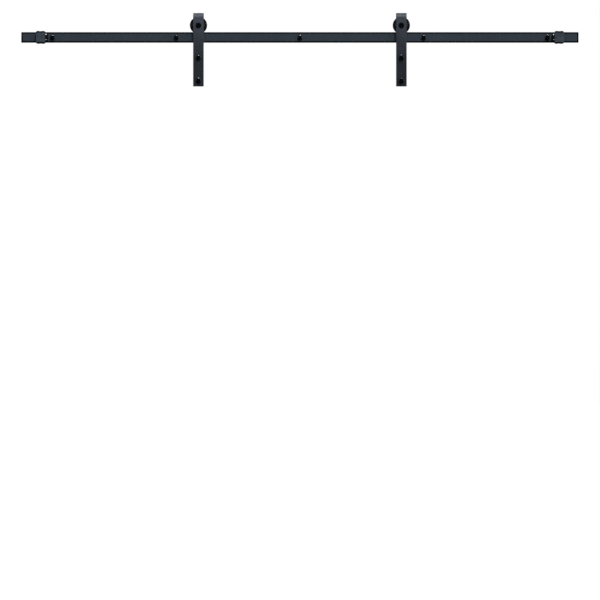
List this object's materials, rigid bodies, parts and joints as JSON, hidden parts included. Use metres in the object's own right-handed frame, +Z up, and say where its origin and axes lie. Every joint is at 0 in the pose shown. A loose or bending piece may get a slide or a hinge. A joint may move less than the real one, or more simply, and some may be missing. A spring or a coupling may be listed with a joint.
{
  "type": "sliding barn door hardware kit",
  "caption": "Flat wall rail on spacers with rubber end stops and J-strap hangers whose grooved wheels roll along its top edge to carry a sliding door.",
  "frame": {"origin": "on the wall's surface, on the axis of the rail's middle wall screw", "axes": "+X along the rail to the right as seen from the room, +Y into the wall, +Z up"},
  "size_m": [2, 0.1029, 0.2641],
  "materials": {
    "rail_coat": "black textured powder coat, satin",
    "strap_coat": "black textured powder coat, satin",
    "stop_coat": "black textured powder coat, satin",
    "spacer_coat": "black powder coat, satin",
    "black_bolt": "black oxide, satin",
    "zinc": "bright zinc plate",
    "bearing_steel": "ground bearing steel",
    "cage_steel": "pressed steel",
    "wheel_nylon": "moulded black nylon",
    "insert_nylon": "pale nylon",
    "bumper_rubber": "moulded rubber, matt"
  },
  "bodies": {
    "rail_and_wall_fixings": {"rail": "rail_coat", "wall_spacer_1": "spacer_coat", "wall_spacer_2": "spacer_coat", "wall_spacer_3": "spacer_coat", "wall_spacer_4": "spacer_coat", "wall_spacer_5": "spacer_coat", "wall_screws": "black_bolt", "left_stop_body": "stop_coat", "left_stop_set_screws": "black_bolt", "left_bumper": "bumper_rubber", "left_bumper_screws": "zinc", "right_stop_body": "stop_coat", "right_stop_set_screws": "black_bolt", "right_bumper": "bumper_rubber", "right_bumper_screws": "zinc"},
    "left_hanger": {"left_strap": "strap_coat", "left_door_screws": "black_bolt", "left_bearing_inner_ring": "bearing_steel", "left_axle_bolt": "black_bolt", "left_axle_washer": "black_bolt", "left_axle_nut": "black_bolt", "left_nut_insert": "insert_nylon", "left_axle_spacer_front": "zinc", "left_axle_spacer_back": "zinc"},
    "left_roller": {"left_wheel": "wheel_nylon", "left_bearing_outer_ring": "bearing_steel", "left_bearing_shields": "bearing_steel"},
    "left_ball_set": {"left_bearing_balls": "bearing_steel", "left_bearing_cage": "cage_steel"},
    "right_hanger": {"right_strap": "strap_coat", "right_door_screws": "black_bolt", "right_bearing_inner_ring": "bearing_steel", "right_axle_bolt": "black_bolt", "right_axle_washer": "black_bolt", "right_axle_nut": "black_bolt", "right_nut_insert": "insert_nylon", "right_axle_spacer_front": "zinc", "right_axle_spacer_back": "zinc"},
    "right_roller": {"right_wheel": "wheel_nylon", "right_bearing_outer_ring": "bearing_steel", "right_bearing_shields": "bearing_steel"},
    "right_ball_set": {"right_bearing_balls": "bearing_steel", "right_bearing_cage": "cage_steel"}
  },
  "joints": [
    {"name": "left_travel", "type": "slide", "parent": "rail_and_wall_fixings", "child": "left_hanger", "axis": [1, 0, 0], "range_m": [-0.52, 0.52]},
    {"name": "right_travel", "type": "slide", "parent": "rail_and_wall_fixings", "child": "right_hanger", "axis": [1, 0, 0], "range_m": [-0.52, 0.52]},
    {"name": "left_wheel_roll", "type": "hinge", "parent": "left_hanger", "child": "left_roller", "pos_m": [-0.364, -0.036, 0.04355], "axis": [0, 1, 0], "continuous": true},
    {"name": "left_ball_set_turn", "type": "hinge", "parent": "left_hanger", "child": "left_ball_set", "pos_m": [-0.364, -0.036, 0.04355], "axis": [0, 1, 0], "continuous": true},
    {"name": "right_wheel_roll", "type": "hinge", "parent": "right_hanger", "child": "right_roller", "pos_m": [0.364, -0.036, 0.04355], "axis": [0, 1, 0], "continuous": true},
    {"name": "right_ball_set_turn", "type": "hinge", "parent": "right_hanger", "child": "right_ball_set", "pos_m": [0.364, -0.036, 0.04355], "axis": [0, 1, 0], "continuous": true}
  ],
  "couplings": [
    {"joint": "right_travel", "follows": "left_travel", "ratio": 1},
    {"joint": "left_wheel_roll", "follows": "left_travel", "rad_per_m": 40.816},
    {"joint": "left_ball_set_turn", "follows": "left_travel", "rad_per_m": 25.805},
    {"joint": "right_wheel_roll", "follows": "left_travel", "rad_per_m": 40.816},
    {"joint": "right_ball_set_turn", "follows": "left_travel", "rad_per_m": 25.805}
  ]
}
